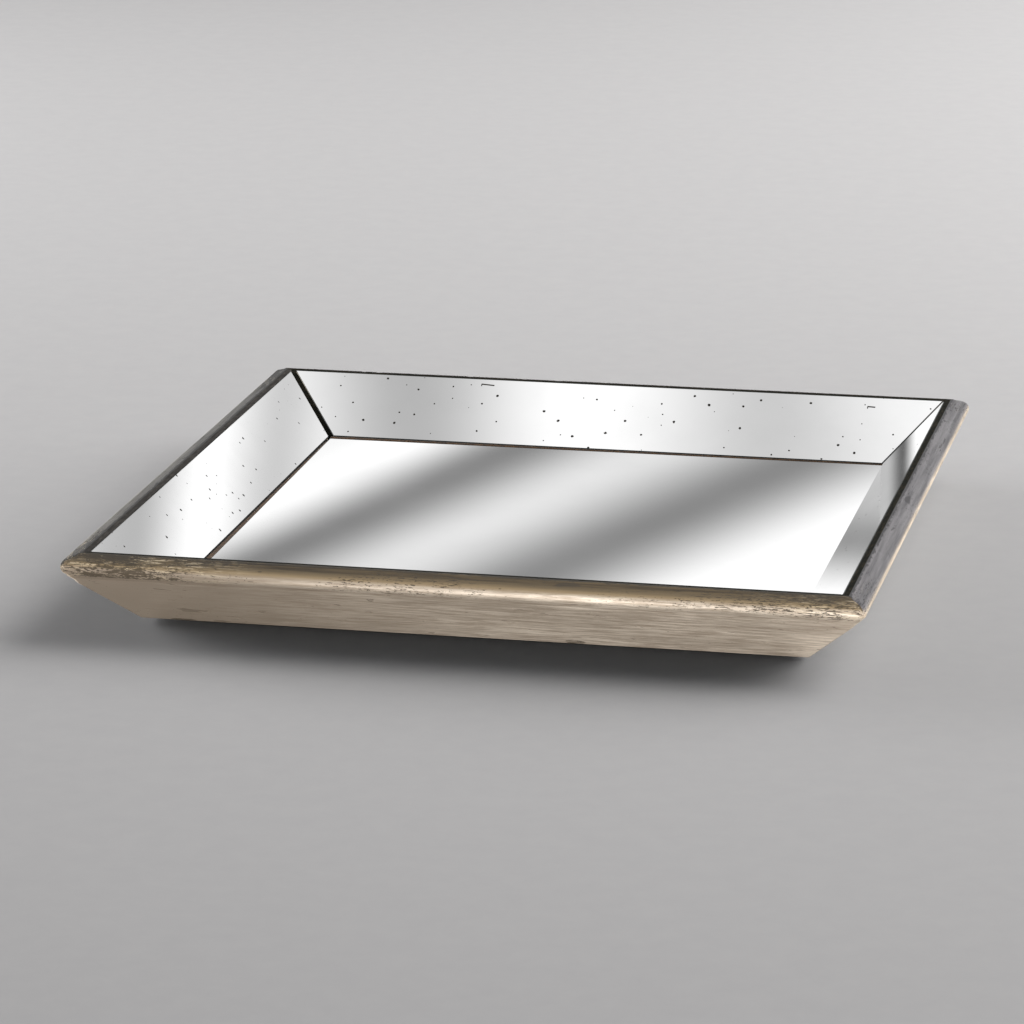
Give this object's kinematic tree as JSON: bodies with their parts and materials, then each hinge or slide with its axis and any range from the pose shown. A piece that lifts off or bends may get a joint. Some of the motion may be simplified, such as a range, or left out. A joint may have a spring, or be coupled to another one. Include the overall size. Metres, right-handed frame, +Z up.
{
  "type": "vanity tray",
  "caption": "Square dresser vanity tray with flared mitred wooden rails in worn silver leaf, lined with antiqued mirror panels round a mirrored floor.",
  "frame": {"origin": "centre of the tray's footprint, on the surface that its foot pads stand on", "axes": "+X to the right along the front rail, +Y to the back, +Z up"},
  "size_m": [0.45, 0.45, 0.0465],
  "materials": {
    "silver_leaf_wood": "wood moulding in worn champagne silver leaf, brushed along its length, dark on the sight edge",
    "antiqued_mirror": "silvered glass with scattered dark foxing specks",
    "floor_mirror": "clear silvered glass",
    "hardboard": "brown hardboard, smooth face up",
    "backing_felt": "black felt",
    "foot_pad": "dense dark brown felt",
    "mounting_tape": "double-sided foam mounting tape",
    "steel": "bright drawn steel",
    "beech": "plain beech dowel"
  },
  "bodies": {
    "root": {"front_rail": "silver_leaf_wood", "right_rail": "silver_leaf_wood", "back_rail": "silver_leaf_wood", "left_rail": "silver_leaf_wood", "front_mirror": "antiqued_mirror", "right_mirror": "antiqued_mirror", "back_mirror": "antiqued_mirror", "left_mirror": "antiqued_mirror", "floor_mirror": "floor_mirror", "base_board": "hardboard", "backing_felt": "backing_felt", "front_right_foot_pad": "foot_pad", "back_right_foot_pad": "foot_pad", "back_left_foot_pad": "foot_pad", "front_left_foot_pad": "foot_pad", "front_mirror_tape_lower": "mounting_tape", "front_mirror_tape_upper": "mounting_tape", "right_mirror_tape_lower": "mounting_tape", "right_mirror_tape_upper": "mounting_tape", "back_mirror_tape_lower": "mounting_tape", "back_mirror_tape_upper": "mounting_tape", "left_mirror_tape_lower": "mounting_tape", "left_mirror_tape_upper": "mounting_tape", "floor_tape_1": "mounting_tape", "floor_tape_2": "mounting_tape", "floor_tape_3": "mounting_tape", "floor_tape_4": "mounting_tape", "front_board_pin_1": "steel", "front_board_pin_2": "steel", "front_board_pin_3": "steel", "right_board_pin_1": "steel", "right_board_pin_2": "steel", "right_board_pin_3": "steel", "back_board_pin_1": "steel", "back_board_pin_2": "steel", "back_board_pin_3": "steel", "left_board_pin_1": "steel", "left_board_pin_2": "steel", "left_board_pin_3": "steel", "front_right_v_nail": "steel", "back_right_v_nail": "steel", "back_left_v_nail": "steel", "front_left_v_nail": "steel", "front_right_dowel": "beech", "back_right_dowel": "beech", "back_left_dowel": "beech", "front_left_dowel": "beech"}
  },
  "joints": []
}
